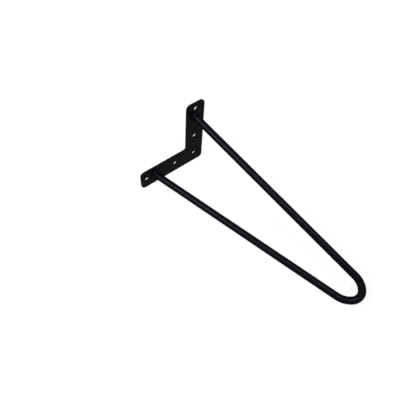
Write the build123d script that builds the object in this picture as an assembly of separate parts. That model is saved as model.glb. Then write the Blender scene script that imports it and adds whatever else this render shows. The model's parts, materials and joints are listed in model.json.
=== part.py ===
from build123d import *
from math import acos, atan2, cos, degrees, hypot, radians, sin, sqrt
import os

# Hairpin table leg: an L-shaped mounting plate and one round bar, bent at the foot and welded to both arms.
# It is modelled on its plate first, then laid down on the plate's edge and the bend, as it comes to rest.
# Plate frame: the arms run along +X and +Y from the corner hole, and the foot is towards +Z. All sizes in mm.

# Mounting plate
plate_thickness = 3.0
arm_width = 30.0
arm_length = 108.5
outer_corner_radius = 5.0
arm_end_radius = 6.5
inner_corner_radius = 3.0
edge_rounding = 0.4

# Screw holes on the centre lines of the arms, one of them in the corner
hole_diameter = 6.6
middle_hole_distance = 34.5
end_hole_inset = 9.5

# Hairpin rod: the height runs from the mounting face to the foot's end, the radii to the bar's centre line.
# The bend is tightest over the foot's angle and eases through a shoulder of larger radius into each run.
rod_diameter = 10.0
root_inset = 24.0
foot_radius = 13.0
foot_angle = 84.0
shoulder_radius = 27.0
leg_height = 305.0
splay_angle = 15.0

# Weld bead round each end of the rod
weld_spread = 2.8
weld_climb = 2.6
weld_lip = 0.4
weld_bulge = 0.35
weld_sections = 4

# Places on the plate
half_width = arm_width / 2
arm_reach = arm_length - half_width
end_hole_distance = arm_reach - end_hole_inset
root_distance = arm_reach - root_inset
rod_radius = rod_diameter / 2

# The hairpin lies in a plane that leans outwards over the plate's corner by the splay angle
splay = radians(splay_angle)
lean_direction = Vector(-sin(splay) / sqrt(2), -sin(splay) / sqrt(2), cos(splay))
across_direction = Vector(-1, 1, 0).normalized()
hairpin_plane = Plane(
    origin=(root_distance / 2, root_distance / 2, plate_thickness),
    x_dir=across_direction,
    z_dir=across_direction.cross(lean_direction),
)

# In that plane the foot's arc lies between two shoulder arcs, each centred across the middle from its own run
half_span = root_distance / sqrt(2)
slant_length = (leg_height - plate_thickness - rod_radius) / cos(splay)
foot_along = slant_length - foot_radius
half_turn = radians(foot_angle / 2)
shoulder_across = (foot_radius - shoulder_radius) * sin(half_turn)
shoulder_along = foot_along + (foot_radius - shoulder_radius) * cos(half_turn)
blend_across = foot_radius * sin(half_turn)
blend_along = foot_along + foot_radius * cos(half_turn)

# Each straight run is a tangent from its root to the circle of its shoulder
root_across = half_span - shoulder_across
taper_angle = acos(shoulder_radius / hypot(root_across, shoulder_along)) - atan2(shoulder_along, root_across)
tangent_across = shoulder_across + shoulder_radius * cos(taper_angle)
tangent_along = shoulder_along + shoulder_radius * sin(taper_angle)


def hairpin_point(across: float, along: float) -> Vector:
    """A point of the hairpin's plane, in the plate frame."""
    return hairpin_plane.from_local_coords(Vector(across, along, 0))


def make_plate() -> Part:
    """The plate: an L outline with rounded corners and edges, and five screw holes."""
    outline = make_face(
        Polyline(
            (-half_width, -half_width),
            (arm_reach, -half_width),
            (arm_reach, half_width),
            (half_width, half_width),
            (half_width, arm_reach),
            (-half_width, arm_reach),
            close=True,
        )
    )
    by_distance = outline.vertices().sort_by_distance((-half_width, -half_width))
    outer_corner, inner_corner, arm_ends = by_distance[0], by_distance[1], by_distance[2:]
    inner_point = Vector(inner_corner)
    end_points = [Vector(corner) for corner in arm_ends]
    outline = fillet(outer_corner, outer_corner_radius)
    outline = fillet(outline.vertices().sort_by_distance(inner_point)[0], inner_corner_radius)
    for point in end_points:
        outline = fillet(outline.vertices().sort_by_distance(point)[0], arm_end_radius)
    plate = extrude(outline, plate_thickness)
    rims = plate.faces().sort_by(Axis.Z)
    plate = fillet(rims[0].edges() + rims[-1].edges(), edge_rounding)
    drill = Cylinder(hole_diameter / 2, plate_thickness, align=(Align.CENTER, Align.CENTER, Align.MIN))
    hole_places = [(0, 0)]
    for distance in (middle_hole_distance, end_hole_distance):
        hole_places += [(distance, 0), (0, distance)]
    return plate - [Pos(x, y) * drill for x, y in hole_places]


def make_bar() -> Part:
    """The bent bar before its ends are cut, with each run carried on through the plate."""
    overrun = plate_thickness + rod_diameter
    end_across = half_span + overrun * sin(taper_angle)
    end_along = -overrun * cos(taper_angle)
    ends = [hairpin_point(side * end_across, end_along) for side in (-1, 1)]
    tangents = [hairpin_point(side * tangent_across, tangent_along) for side in (-1, 1)]
    blends = [hairpin_point(side * blend_across, blend_along) for side in (-1, 1)]
    first_run = Line(ends[0], tangents[0])
    first_shoulder = TangentArc(first_run @ 1, blends[0], tangent=first_run % 1)
    foot = TangentArc(first_shoulder @ 1, blends[1], tangent=first_shoulder % 1)
    last_shoulder = TangentArc(foot @ 1, tangents[1], tangent=foot % 1)
    last_run = Line(last_shoulder @ 1, ends[1])
    path = Wire([first_run, first_shoulder, foot, last_shoulder, last_run])
    section = Plane(origin=path @ 0, z_dir=path % 0) * Circle(rod_radius)
    return sweep(section, path)


def make_bead(bar: Part, root: Vector, run: Vector) -> Part:
    """A weld bead: a collar of ellipses that follows the slanted bar up from the plate, less the bar."""
    lean = Vector(run.X, run.Y, 0)
    slope = lean.length / run.Z
    stretch = sqrt(1 + slope**2)
    collar = []
    for i in range(weld_sections):
        share = i / (weld_sections - 1)
        climb = weld_climb * share
        width = weld_spread + (weld_lip - weld_spread) * share + 4 * weld_bulge * share * (1 - share)
        centre = root + run * (climb / run.Z)
        level = Plane(origin=centre, x_dir=lean, z_dir=(0, 0, 1))
        collar.append(level * Ellipse(rod_radius * stretch + width, rod_radius + width))
    return loft(collar) - bar


def shoulder_clearance(tilt: float) -> float:
    """Height of the lower shoulder over the plate's lower edge, with the plate leaning back by the tilt."""
    up = Vector(cos(tilt), 0, sin(tilt))
    centre = hairpin_point(shoulder_across, shoulder_along)
    ring = hypot(up.dot(lean_direction), up.dot(across_direction))
    shoulder_height = up.dot(centre) - shoulder_radius * ring - rod_radius
    rim_heights = [edge_rounding * sin(tilt), (plate_thickness - edge_rounding) * sin(tilt)]
    edge_height = (edge_rounding - half_width) * cos(tilt) + min(rim_heights) - edge_rounding
    return shoulder_height - edge_height


def resting_tilt() -> float:
    """The tilt at which the plate's edge and the lower shoulder touch the same floor, found by halving."""
    steepest = radians(45)
    tolerance = 1e-9
    low, high = -steepest, steepest
    while high - low > tolerance:
        middle = (low + high) / 2
        if shoulder_clearance(middle) < 0:
            low = middle
        else:
            high = middle
    return (low + high) / 2


bar = make_bar()
over_plate = Plane(origin=(0, 0, plate_thickness))
pieces = {
    "mounting_plate": make_plate(),
    "hairpin_rod": split(bar, bisect_by=over_plate, keep=Keep.TOP),
}
for name, side in (("weld_bead_upper", -1), ("weld_bead_lower", 1)):
    root = hairpin_point(side * half_span, 0)
    run = hairpin_point(side * tangent_across, tangent_along) - root
    pieces[name] = make_bead(bar, root, run.normalized())

# Laid down: the arm along +X stands up, the arm along +Y lies down, and the foot points to the row's +X
tilt = resting_tilt()
lying = Plane(origin=(0, 0, 0), x_dir=(-sin(tilt), 0, cos(tilt)), z_dir=(cos(tilt), 0, sin(tilt)))
laid = {name: lying.to_local_coords(piece) for name, piece in pieces.items()}
box = Compound(list(laid.values())).bounding_box()
to_origin = Pos(-box.center().X, -box.center().Y, -box.min.Z)

os.makedirs("parts", exist_ok=True)
for name, piece in laid.items():
    export_step(to_origin * piece, f"parts/{name}.step")
print(f"lying tilt {degrees(tilt):.4f} deg, taper {degrees(taper_angle):.4f} deg, box {box.size}")
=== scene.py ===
"""Looks of a hairpin table leg: satin black powder coat on a bent bar, its screw plate and their welds."""

import json
import logging
import math
from dataclasses import dataclass, field
from enum import Enum

import bmesh
import bpy
from mathutils import Matrix, Vector


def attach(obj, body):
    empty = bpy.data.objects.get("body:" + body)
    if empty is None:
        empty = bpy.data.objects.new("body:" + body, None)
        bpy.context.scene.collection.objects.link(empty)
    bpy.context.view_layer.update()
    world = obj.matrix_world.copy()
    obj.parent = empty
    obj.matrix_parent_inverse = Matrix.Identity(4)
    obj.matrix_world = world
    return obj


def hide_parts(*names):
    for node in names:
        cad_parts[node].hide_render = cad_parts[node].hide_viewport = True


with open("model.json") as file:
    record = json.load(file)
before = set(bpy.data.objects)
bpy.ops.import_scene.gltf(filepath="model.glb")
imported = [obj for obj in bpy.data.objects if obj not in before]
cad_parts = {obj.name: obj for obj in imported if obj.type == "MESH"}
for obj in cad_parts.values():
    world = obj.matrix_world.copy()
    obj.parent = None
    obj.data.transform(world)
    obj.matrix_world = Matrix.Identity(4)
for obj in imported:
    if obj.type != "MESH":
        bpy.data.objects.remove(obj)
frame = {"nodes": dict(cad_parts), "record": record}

log = logging.getLogger("hairpin_leg")

Colour = tuple[float, float, float]
Point = tuple[float, float, float]
Ring = list[bmesh.types.BMEdge]
Socket = bpy.types.NodeSocket

# Places and sizes are in metres, as in the frame, and angles in radians, unless a class says otherwise
MM = 0.001
MERGE_DISTANCE = 0.001 * MM
WHITE = (1.0, 1.0, 1.0, 1.0)
BODY = "root"


class Node(Enum):
    """The CAD nodes of the leg."""

    PLATE = "mounting_plate"
    ROD = "hairpin_rod"
    UPPER_BEAD = "weld_bead_upper"
    LOWER_BEAD = "weld_bead_lower"


class Mount(Enum):
    """The record's mounts that give the plate's own axes."""

    CORNER_HOLE = "corner_screw_hole"
    UPPER_HOLES = "upper_arm_screw_holes"
    LOWER_HOLES = "lower_arm_screw_holes"


class Arm(Enum):
    """The plate's two arms, with the side of the hairpin that stands on each."""

    UPPER = -1
    LOWER = 1


class Graph:
    """A node tree that is being filled, with short ways to add and join nodes."""

    def __init__(self, tree: bpy.types.NodeTree) -> None:
        """Empties a node tree.

        Args:
            tree: The node tree of a material or of the world.
        """
        self.tree = tree
        self.tree.nodes.clear()

    def add(self, kind: str, **inputs: float | tuple[float, ...]) -> bpy.types.Node:
        """Adds a node and sets its sockets.

        Args:
            kind: The node's type without the leading ShaderNode.
            inputs: Socket values by name, with spaces written as underscores.

        Returns:
            The new node.
        """
        node = self.tree.nodes.new("ShaderNode" + kind)
        for name, value in inputs.items():
            node.inputs[name.replace("_", " ")].default_value = value
        return node

    def join(self, output: Socket, target: Socket) -> None:
        """Links one socket to another."""
        self.tree.links.new(output, target)

    def calculate(self, operation: str, first: Socket, *others: Socket | float) -> Socket:
        """Adds a Math node.

        Args:
            operation: The Math node's operation.
            first: The first operand.
            others: The other operands, each a socket or a number.

        Returns:
            The node's output socket.
        """
        node = self.add("Math")
        node.operation = operation
        self.join(first, node.inputs[0])
        for place, operand in enumerate(others, start=1):
            if isinstance(operand, Socket):
                self.join(operand, node.inputs[place])
            else:
                node.inputs[place].default_value = operand
        return node.outputs["Value"]

    def mix(self, share: Socket, first: Colour, second: Colour) -> Socket:
        """Adds a Mix node for two colours.

        Args:
            share: How much of the second colour there is, from 0 to 1.
            first: The colour where the share is 0.
            second: The colour where the share is 1.

        Returns:
            The mixed colour.
        """
        node = self.add("Mix")
        node.data_type = "RGBA"
        sockets = {socket.identifier: socket for socket in (*node.inputs, *node.outputs)}
        self.join(share, sockets["Factor_Float"])
        sockets["A_Color"].default_value = (*first, 1.0)
        sockets["B_Color"].default_value = (*second, 1.0)
        return sockets["Result_Color"]

    def seen_rays(self) -> Socket:
        """Tells the rays that show the background from those that only light the leg.

        Returns:
            1 for a ray that is seen directly, in a reflection or through glass, and 0 for any other.
        """
        path = self.add("LightPath")
        shown = self.calculate("MAXIMUM", path.outputs["Is Camera Ray"], path.outputs["Is Glossy Ray"])
        return self.calculate("MAXIMUM", shown, path.outputs["Is Transmission Ray"])


@dataclass(frozen=True)
class PowderCoat:
    """Satin black powder coat: a fine pebbled skin with a faint orange peel over steel."""

    name: str
    colour: Colour = (0.0007, 0.0008, 0.0019)
    thin_colour: Colour = (0.0014, 0.0015, 0.0031)
    gloss: float = 0.11
    gloss_ior: float = 1.5
    gloss_roughness: float = 0.28
    roughness: tuple[float, float] = (0.3, 0.38)
    patch_size: float = 9.0 * MM
    patch_layers: float = 3.0
    peel_size: float = 2.4 * MM
    peel_layers: float = 1.0
    peel_height: float = 0.2 * MM
    grain_size: float = 0.5 * MM
    grain_layers: float = 2.0
    grain_height: float = 0.004 * MM
    layer_weight: float = 0.55

    def material(self) -> bpy.types.Material:
        """Builds the finish as a procedural material.

        Returns:
            The material.
        """
        material = bpy.data.materials.new(self.name)
        material.use_nodes = True
        graph = Graph(material.node_tree)
        place = graph.add("TexCoord").outputs["Object"]
        patches = self.noise(graph, place, self.patch_size, self.patch_layers)
        grain = self.noise(graph, place, self.grain_size, self.grain_layers)
        # All the gloss is in the clear coat, so the skin under it has none of its own
        skin = graph.add(
            "BsdfPrincipled",
            Specular_IOR_Level=0.0,
            Coat_Weight=self.gloss,
            Coat_IOR=self.gloss_ior,
            Coat_Roughness=self.gloss_roughness,
        )
        graph.join(graph.mix(patches, self.colour, self.thin_colour), skin.inputs["Base Color"])
        smooth, rough = self.roughness
        graph.join(graph.calculate("MULTIPLY_ADD", grain, rough - smooth, smooth), skin.inputs["Roughness"])
        relief = self.relief(graph, place, grain)
        graph.join(relief, skin.inputs["Normal"])
        graph.join(relief, skin.inputs["Coat Normal"])
        output = graph.add("OutputMaterial")
        graph.join(skin.outputs["BSDF"], output.inputs["Surface"])
        return material

    def relief(self, graph: Graph, place: Socket, grain: Socket) -> Socket:
        """Adds the bump of the coat: a pebble on top of the orange peel.

        Args:
            graph: The material's graph.
            place: The coordinates that the peel lies on.
            grain: The pattern of the pebble.

        Returns:
            The bumped normal.
        """
        peel = graph.add("Bump", Strength=1.0, Distance=self.peel_height)
        graph.join(self.noise(graph, place, self.peel_size, self.peel_layers), peel.inputs["Height"])
        pebble = graph.add("Bump", Strength=1.0, Distance=self.grain_height)
        graph.join(grain, pebble.inputs["Height"])
        graph.join(peel.outputs["Normal"], pebble.inputs["Normal"])
        return pebble.outputs["Normal"]

    def noise(self, graph: Graph, place: Socket, size: float, layers: float) -> Socket:
        """Adds a noise pattern.

        Args:
            graph: The material's graph.
            place: The coordinates that the pattern lies on.
            size: The size of the pattern's patches.
            layers: How many finer layers it has.

        Returns:
            The pattern's value, about 0 to 1.
        """
        texture = graph.add("TexNoise", Scale=1.0 / size, Detail=layers, Roughness=self.layer_weight)
        graph.join(place, texture.inputs["Vector"])
        return texture.outputs["Fac"]


BAR_COAT = PowderCoat("bar_powder_coat")
PLATE_COAT = PowderCoat("plate_powder_coat", gloss=0.142, gloss_roughness=0.5)


def finish_piece(
    name: str, mesh: bmesh.types.BMesh, node: Node, coat: bpy.types.Material
) -> bpy.types.Object:
    """Turns a bmesh into a piece that stands for a CAD node.

    Args:
        name: The piece's name.
        mesh: The finished shape, in the row's frame. It is freed.
        node: The CAD node that the piece stands for.
        coat: The piece's finish.

    Returns:
        The piece.
    """
    data = bpy.data.meshes.new(name)
    mesh.to_mesh(data)
    mesh.free()
    data.materials.append(coat)
    piece = bpy.data.objects.new(name, data)
    bpy.context.collection.objects.link(piece)
    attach(piece, BODY)
    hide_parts(node.value)
    return piece


@dataclass
class MountingPlate:
    """The L-shaped screw plate, shown as its CAD solid."""

    thickness: float = 3.0 * MM

    def axes(self) -> Matrix:
        """Reads the plate's own axes from the record's mounts.

        Returns:
            The place of the corner hole on the mounting face, with X along the upper arm, Y along the lower
            arm and Z towards the foot.
        """
        mounts = {mount["name"]: mount for mount in frame["record"]["mounts"]}
        corner, upper, lower = (Vector(mounts[mount.value]["pos_m"]) for mount in Mount)
        along_upper = (upper - corner).normalized()
        along_lower = (lower - corner).normalized()
        to_foot = along_upper.cross(along_lower)
        origin = corner - to_foot * self.thickness / 2
        turn = Matrix((along_upper, along_lower, to_foot)).transposed()
        return Matrix.Translation(origin) @ turn.to_4x4()

    def dress(self, coat: bpy.types.Material) -> bpy.types.Object:
        """Gives the plate its finish.

        Args:
            coat: The finish.

        Returns:
            The plate.
        """
        piece = frame["nodes"][Node.PLATE.value]
        piece.data.materials.clear()
        piece.data.materials.append(coat)
        return piece


@dataclass
class HairpinRod:
    """One round bar, bent once at the foot, with both ends cut flush with the plate.

    Its own plane has X across the hairpin, from the upper run to the lower, and Y from the plate towards
    the foot.
    """

    plate: MountingPlate
    diameter: float = 10.0 * MM
    root_distance: float = 69.5 * MM
    foot_radius: float = 13.0 * MM
    foot_angle: float = math.radians(84.0)
    shoulder_radius: float = 27.0 * MM
    leg_height: float = 305.0 * MM
    splay: float = math.radians(15.0)
    facets: int = 48
    foot_steps: int = 24
    shoulder_steps: int = 14
    run_steps: int = 24
    radius: float = field(init=False)
    plane: Matrix = field(init=False)
    half_span: float = field(init=False)
    foot_centre: Vector = field(init=False)
    shoulder_centre: Vector = field(init=False)
    shoulder_angle: float = field(init=False)
    taper: float = field(init=False)
    run_length: float = field(init=False)

    def __post_init__(self) -> None:
        """Works out the hairpin's own plane and, in it, the bend's arcs and the runs that meet them."""
        outward = math.sin(self.splay) / math.sqrt(2)
        lean = Vector((-outward, -outward, math.cos(self.splay)))
        across = Vector((-1.0, 1.0, 0.0)).normalized()
        turn = Matrix((across, lean, across.cross(lean))).transposed()
        middle = Vector((self.root_distance / 2, self.root_distance / 2, self.plate.thickness))
        self.radius = self.diameter / 2
        self.plane = Matrix.Translation(middle) @ turn.to_4x4()
        self.half_span = self.root_distance / math.sqrt(2)
        slant = (self.leg_height - self.plate.thickness - self.radius) / math.cos(self.splay)
        self.foot_centre = Vector((0.0, slant - self.foot_radius, 0.0))
        # The upper shoulder's arc, centred across the middle from its own run
        half_turn = self.foot_angle / 2
        inward = Vector((math.sin(half_turn), -math.cos(half_turn), 0.0))
        self.shoulder_centre = self.foot_centre + (self.shoulder_radius - self.foot_radius) * inward
        # The upper run, a tangent from its root to that arc
        root_across = self.half_span + self.shoulder_centre.x
        reach = math.hypot(root_across, self.shoulder_centre.y)
        rise = math.atan2(self.shoulder_centre.y, root_across)
        self.taper = math.acos(self.shoulder_radius / reach) - rise
        self.shoulder_angle = math.pi / 2 - self.taper - half_turn
        self.run_length = math.sqrt(reach**2 - self.shoulder_radius**2)

    def root(self, arm: Arm) -> Vector:
        """Gives the place where a run meets its arm, in the plate's axes."""
        return self.plane @ Vector((arm.value * self.half_span, 0.0, 0.0))

    def run_direction(self, arm: Arm) -> Vector:
        """Gives the direction of a run from its root to the foot, in the plate's axes."""
        return self.plane.to_3x3() @ Vector((-arm.value * math.sin(self.taper), math.cos(self.taper), 0.0))

    def build(self, axes: Matrix, coat: bpy.types.Material) -> bpy.types.Object:
        """Makes the rod, from its upper end to its lower, and dresses it.

        Args:
            axes: The plate's axes.
            coat: The finish.

        Returns:
            The rod.
        """
        overrun = self.plate.thickness + self.diameter
        length = self.run_length + overrun
        upper_run = Vector((math.sin(self.taper), math.cos(self.taper), 0.0))
        lower_run = Vector((upper_run.x, -upper_run.y, 0.0))
        upper_centre = self.shoulder_centre
        lower_centre = Vector((-upper_centre.x, upper_centre.y, 0.0))
        start = Vector((-self.half_span, 0.0, 0.0)) - upper_run * overrun
        facing = Matrix.Translation(start) @ upper_run.to_track_quat("Z", "Y").to_matrix().to_4x4()
        bm = bmesh.new()
        bmesh.ops.create_circle(bm, segments=self.facets, radius=self.radius, matrix=facing)
        ring = self.extrude_run(bm, list(bm.edges), upper_run * length)
        ring = self.spin_arc(bm, ring, upper_centre, self.shoulder_angle, self.shoulder_steps)
        ring = self.spin_arc(bm, ring, self.foot_centre, self.foot_angle, self.foot_steps)
        ring = self.spin_arc(bm, ring, lower_centre, self.shoulder_angle, self.shoulder_steps)
        self.extrude_run(bm, ring, lower_run * length)
        bmesh.ops.transform(bm, matrix=axes @ self.plane, verts=bm.verts)
        self.cut_ends(bm, axes)
        return finish_piece("rod_bent_bar", bm, Node.ROD, coat)

    def extrude_run(self, bm: bmesh.types.BMesh, ring: Ring, run: Vector) -> Ring:
        """Extrudes a ring of edges along a straight run, in even steps.

        Args:
            bm: The rod's bmesh.
            ring: The edges of the ring.
            run: The run, from one end to the other.

        Returns:
            The edges of the ring at the run's far end.
        """
        for _ in range(self.run_steps):
            grown = bmesh.ops.extrude_edge_only(bm, edges=ring)["geom"]
            verts = [part for part in grown if isinstance(part, bmesh.types.BMVert)]
            edges = [part for part in grown if isinstance(part, bmesh.types.BMEdge)]
            ring = [edge for edge in edges if edge.is_boundary]
            bmesh.ops.translate(bm, verts=verts, vec=run / self.run_steps)
        return ring

    @staticmethod
    def spin_arc(bm: bmesh.types.BMesh, ring: Ring, centre: Vector, angle: float, steps: int) -> Ring:
        """Spins a ring of edges round one arc of the bend.

        Args:
            bm: The rod's bmesh.
            ring: The edges of the ring.
            centre: The arc's centre.
            angle: The arc's angle.
            steps: How many steps the arc has.

        Returns:
            The edges of the ring at the arc's far end.
        """
        axis = Vector((0.0, 0.0, -1.0))
        turn = bmesh.ops.spin(bm, geom=ring, cent=centre, axis=axis, angle=angle, steps=steps)
        return [part for part in turn["geom_last"] if isinstance(part, bmesh.types.BMEdge)]

    def cut_ends(self, bm: bmesh.types.BMesh, axes: Matrix) -> None:
        """Cuts the ends off at the plate's face and closes them.

        Args:
            bm: The rod's bmesh, in the row's frame.
            axes: The plate's axes.
        """
        to_foot = axes.to_3x3().col[2]
        bmesh.ops.remove_doubles(bm, verts=bm.verts, dist=MERGE_DISTANCE)
        cut = bmesh.ops.bisect_plane(
            bm,
            geom=bm.verts[:] + bm.edges[:] + bm.faces[:],
            plane_co=axes.translation + to_foot * self.plate.thickness,
            plane_no=to_foot,
            clear_inner=True,
        )
        rims = [part for part in cut["geom_cut"] if isinstance(part, bmesh.types.BMEdge)]
        for face in bm.faces:
            face.smooth = True
        for face in bmesh.ops.edgeloop_fill(bm, edges=rims)["faces"]:
            face.smooth = False
        for edge in rims:
            edge.smooth = False
        bmesh.ops.recalc_face_normals(bm, faces=bm.faces)


@dataclass(frozen=True)
class PassWave:
    """One slow wave by which a weld's pass wanders, with its size, count round the bead and shift."""

    size: float
    count: int
    shift: float

    def height(self, turn: float, arm: Arm) -> float:
        """Gives the wave's height at an angle round the bead on an arm."""
        return self.size * math.sin(self.count * turn + self.shift * arm.value)


@dataclass
class WeldBead:
    """A fillet weld round one end of the rod, with its ripples and the lump where its pass stops.

    It is made round an upright rod and then seated. A share across its face runs from 0 at the lip on the
    rod to 1 at the toe on the plate.
    """

    rod: HairpinRod
    arm: Arm
    node: Node
    stop_turn: float
    stop_share: float
    stop_height: float = 0.9 * MM
    stop_size: float = 1.0 * MM
    spread: float = 2.8 * MM
    climb: float = 2.6 * MM
    bulge: float = 0.5 * MM
    sink: float = 0.3 * MM
    ripples: int = 25
    ripple_height: float = 0.22 * MM
    ripple_sweep: float = 4.2
    ripple_drift: float = 1.1
    ripple_skew: float = 0.5
    toe_wander: float = 0.16 * MM
    toe_scallop: float = 0.14 * MM
    waves: tuple[PassWave, ...] = (PassWave(0.6, 3, 2.0), PassWave(0.4, 7, -1.0))
    face_cuts: int = 11
    face_tolerance: float = 0.01 * MM
    steps_per_ripple: int = 8
    inner: float = field(init=False)
    width: float = field(init=False)

    def __post_init__(self) -> None:
        """Works out the radius of the inside, which is sunk into the rod, and the width from there."""
        self.inner = self.rod.radius - self.sink
        self.width = self.spread + self.sink

    def build(self, axes: Matrix, coat: bpy.types.Material) -> bpy.types.Object:
        """Makes the bead and dresses it.

        Args:
            axes: The plate's axes.
            coat: The finish.

        Returns:
            The bead.
        """
        bm = bmesh.new()
        self.spin_section(bm)
        self.ripple(bm)
        bmesh.ops.transform(bm, matrix=axes @ self.seat(), verts=bm.verts)
        bmesh.ops.remove_doubles(bm, verts=bm.verts, dist=MERGE_DISTANCE)
        bmesh.ops.recalc_face_normals(bm, faces=bm.faces)
        for face in bm.faces:
            face.smooth = True
        return finish_piece("bead_" + self.arm.name.lower(), bm, self.node, coat)

    def spin_section(self, bm: bmesh.types.BMesh) -> None:
        """Spins the weld's three-sided section round an upright rod.

        Args:
            bm: The bead's empty bmesh.
        """
        toe = bm.verts.new((self.inner + self.width, 0.0, 0.0))
        lip = bm.verts.new((self.inner, 0.0, self.climb))
        heel = bm.verts.new((self.inner, 0.0, 0.0))
        face_edge = bm.edges.new((toe, lip))
        bm.edges.new((lip, heel))
        bm.edges.new((heel, toe))
        bmesh.ops.subdivide_edges(bm, edges=[face_edge], cuts=self.face_cuts)
        bmesh.ops.spin(
            bm,
            geom=bm.verts[:] + bm.edges[:],
            cent=(0.0, 0.0, 0.0),
            axis=(0.0, 0.0, 1.0),
            angle=2 * math.pi,
            steps=self.ripples * self.steps_per_ripple,
            use_merge=True,
        )

    def ripple(self, bm: bmesh.types.BMesh) -> None:
        """Swells the face of the bead, raises its crescent ripples and its stop, and lets its toes wander.

        Args:
            bm: The bead's bmesh, still upright.
        """
        outwards = Vector((self.climb, self.width)).normalized()
        for vert in bm.verts:
            share = (math.hypot(vert.co.x, vert.co.y) - self.inner) / self.width
            if abs(vert.co.z - self.climb * (1 - share)) > self.face_tolerance:
                continue
            turn = math.atan2(vert.co.y, vert.co.x)
            drift = self.drift(turn)
            # The crown is 0 at the lip and the toe and 1 midway, and the wave goes from 0 to 1
            crown = 4 * share * (1 - share)
            phase = self.ripples * turn + self.ripple_sweep * crown + self.ripple_drift * drift
            wave = (1 + math.sin(phase + self.ripple_skew * math.sin(phase))) / 2
            lift = crown * (self.bulge + self.ripple_height * wave + self.stop(turn, share))
            spill = share**2 * (self.toe_wander * drift + self.toe_scallop * wave)
            creep = (1 - share) ** 2 * self.toe_wander * drift
            away = Vector((vert.co.x, vert.co.y, 0.0)).normalized()
            vert.co += away * (lift * outwards.x + spill) + Vector((0.0, 0.0, lift * outwards.y + creep))

    def stop(self, turn: float, share: float) -> float:
        """Gives the height of the lump where the pass stops.

        Args:
            turn: The angle round the bead.
            share: The share across the bead's face.

        Returns:
            The lump's height there.
        """
        around = math.remainder(turn - self.stop_turn, 2 * math.pi) * self.rod.radius
        across = (share - self.stop_share) * self.width
        gap = math.hypot(around, across) / self.stop_size
        return self.stop_height * math.exp(-(gap**2) / 2)

    def drift(self, turn: float) -> float:
        """Gives the pass's wander at an angle round the bead, about -1 to 1 and its own on each bead."""
        return sum(wave.height(turn, self.arm) for wave in self.waves)

    def seat(self) -> Matrix:
        """Stretches and shears an upright bead so that it follows its slanted run.

        Returns:
            The change from an upright bead at the origin to one at its root, in the plate's axes.
        """
        run = self.rod.run_direction(self.arm)
        slope = math.hypot(run.x, run.y) / run.z
        stretch = Matrix.Scale(math.sqrt(1 + slope**2), 4, Vector((1.0, 0.0, 0.0)))
        shear = Matrix.Identity(4)
        shear[0][2] = slope
        to_lean = Matrix.Rotation(math.atan2(run.y, run.x), 4, "Z")
        return Matrix.Translation(self.rod.root(self.arm)) @ to_lean @ shear @ stretch


@dataclass
class StudioFloor:
    """A plain white floor that keeps the leg's soft shadow."""

    half_size: float = 6.0
    colour: Colour = (0.222, 0.2, 0.177)
    glow: float = 0.845
    glow_radius: float = 0.2
    white_radius: float = 0.7

    def build(self) -> bpy.types.Object:
        """Makes the floor.

        Returns:
            The floor object.
        """
        bpy.ops.mesh.primitive_plane_add(size=2 * self.half_size)
        floor = bpy.context.active_object
        floor.name = "studio_floor"
        floor.data.materials.append(self.material())
        return floor

    def material(self) -> bpy.types.Material:
        """Builds the floor's white: a surface that takes the shadow, and a glow that rises to plain white.

        Returns:
            The material.
        """
        material = bpy.data.materials.new("studio_white")
        material.use_nodes = True
        graph = Graph(material.node_tree)
        ground = graph.add("BsdfDiffuse", Color=(*self.colour, 1.0))
        shine = graph.add("Emission", Color=WHITE)
        distance = graph.add("VectorMath")
        distance.operation = "LENGTH"
        graph.join(graph.add("TexCoord").outputs["Object"], distance.inputs[0])
        rise = graph.add(
            "MapRange",
            From_Min=self.glow_radius,
            From_Max=self.white_radius,
            To_Min=self.glow,
            To_Max=1.0,
        )
        rise.interpolation_type = "SMOOTHSTEP"
        graph.join(distance.outputs["Value"], rise.inputs["Value"])
        level = graph.calculate("MULTIPLY", graph.seen_rays(), rise.outputs["Result"])
        graph.join(level, shine.inputs["Strength"])
        both = graph.add("AddShader")
        graph.join(ground.outputs["BSDF"], both.inputs[0])
        graph.join(shine.outputs["Emission"], both.inputs[1])
        output = graph.add("OutputMaterial")
        graph.join(both.outputs["Shader"], output.inputs["Surface"])
        return material


@dataclass
class StudioSurround:
    """An even surround: white to the eye, softer as a light."""

    fill: float = 0.15

    def build(self) -> bpy.types.World:
        """Makes the surround and gives it to the scene.

        Returns:
            The world.
        """
        world = bpy.data.worlds.new("studio_surround")
        world.use_nodes = True
        graph = Graph(world.node_tree)
        sky = graph.add("Background", Color=WHITE)
        level = graph.calculate("MULTIPLY_ADD", graph.seen_rays(), 1.0 - self.fill, self.fill)
        graph.join(level, sky.inputs["Strength"])
        output = graph.add("OutputWorld")
        graph.join(sky.outputs["Background"], output.inputs["Surface"])
        bpy.context.scene.world = world
        return world


@dataclass
class StudioLight:
    """One soft panel light that faces the leg."""

    name: str
    place: Point
    size: float
    power: float
    colour: Colour = (0.88, 1.0, 1.15)
    aim: Point = (0.0, 0.0, 0.03)

    def build(self) -> bpy.types.Object:
        """Makes the light.

        Returns:
            The light object.
        """
        data = bpy.data.lights.new(self.name, "AREA")
        data.shape = "DISK"
        data.size = self.size
        data.energy = self.power
        data.color = self.colour
        lamp = bpy.data.objects.new(self.name, data)
        lamp.location = self.place
        lamp.rotation_euler = (Vector(self.aim) - Vector(self.place)).to_track_quat("-Z", "Y").to_euler()
        bpy.context.collection.objects.link(lamp)
        return lamp


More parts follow.
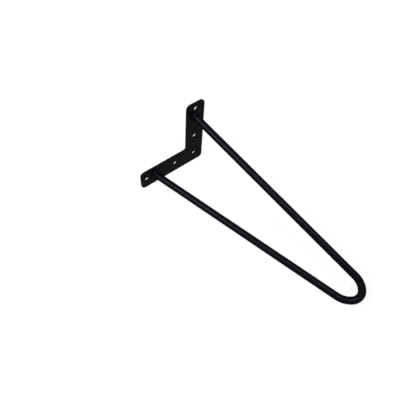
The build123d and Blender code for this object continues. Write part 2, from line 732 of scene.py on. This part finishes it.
@dataclass(frozen=True)
class PhotoCamera:
    """The photograph's camera, placed by its aim point, direction, roll and distance.

    The lens and the sensor are in millimetres, as Blender has them, and the angles in degrees.
    """

    aim: Point = (-55.48 * MM, -39.66 * MM, 60.13 * MM)
    distance: float = 532.46 * MM
    azimuth: float = 42.914
    elevation: float = 55.783
    roll: float = -9.143
    lens: float = 38.6
    sensor: float = 36.0
    nearest: float = 10.0 * MM

    def build(self) -> bpy.types.Object:
        """Makes the camera and gives it to the scene.

        Returns:
            The camera object.
        """
        turn = math.radians(self.azimuth)
        rise = math.radians(self.elevation)
        back = Vector((math.sin(turn) * math.cos(rise), -math.cos(turn) * math.cos(rise), math.sin(rise)))
        data = bpy.data.cameras.new("photo_camera")
        data.sensor_fit = "HORIZONTAL"
        data.sensor_width = self.sensor
        data.lens = self.lens
        data.clip_start = self.nearest
        camera = bpy.data.objects.new("photo_camera", data)
        level = (-back).to_track_quat("-Z", "Y").to_matrix().to_4x4()
        tip = Matrix.Rotation(math.radians(-self.roll), 4, "Z")
        camera.matrix_world = Matrix.Translation(Vector(self.aim) + back * self.distance) @ level @ tip
        bpy.context.collection.objects.link(camera)
        bpy.context.scene.camera = camera
        return camera


def main() -> None:
    """Builds and dresses the leg, reports its pieces and sets up the studio."""
    logging.basicConfig(level=logging.INFO)
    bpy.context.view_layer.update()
    bpy.context.scene.view_settings.view_transform = "Standard"
    plate = MountingPlate()
    rod = HairpinRod(plate)
    beads = [
        WeldBead(rod, Arm.UPPER, Node.UPPER_BEAD, stop_turn=math.radians(-175.0), stop_share=0.3),
        WeldBead(rod, Arm.LOWER, Node.LOWER_BEAD, stop_turn=math.radians(108.0), stop_share=0.75),
    ]
    axes = plate.axes()
    bar_coat = BAR_COAT.material()
    pieces = [plate.dress(PLATE_COAT.material())]
    pieces += [part.build(axes, bar_coat) for part in (rod, *beads)]
    for piece in pieces:
        log.info("%s: %d faces in %s", piece.name, len(piece.data.polygons), piece.active_material.name)
    StudioFloor().build()
    StudioSurround().build()
    StudioLight("key_panel", place=(-0.12, -0.55, 0.75), size=0.45, power=6.5).build()
    StudioLight("top_panel", place=(0.32, -0.05, 1.4), size=0.5, power=6.5).build()
    PhotoCamera().build()


if __name__ == "__main__":
    main()
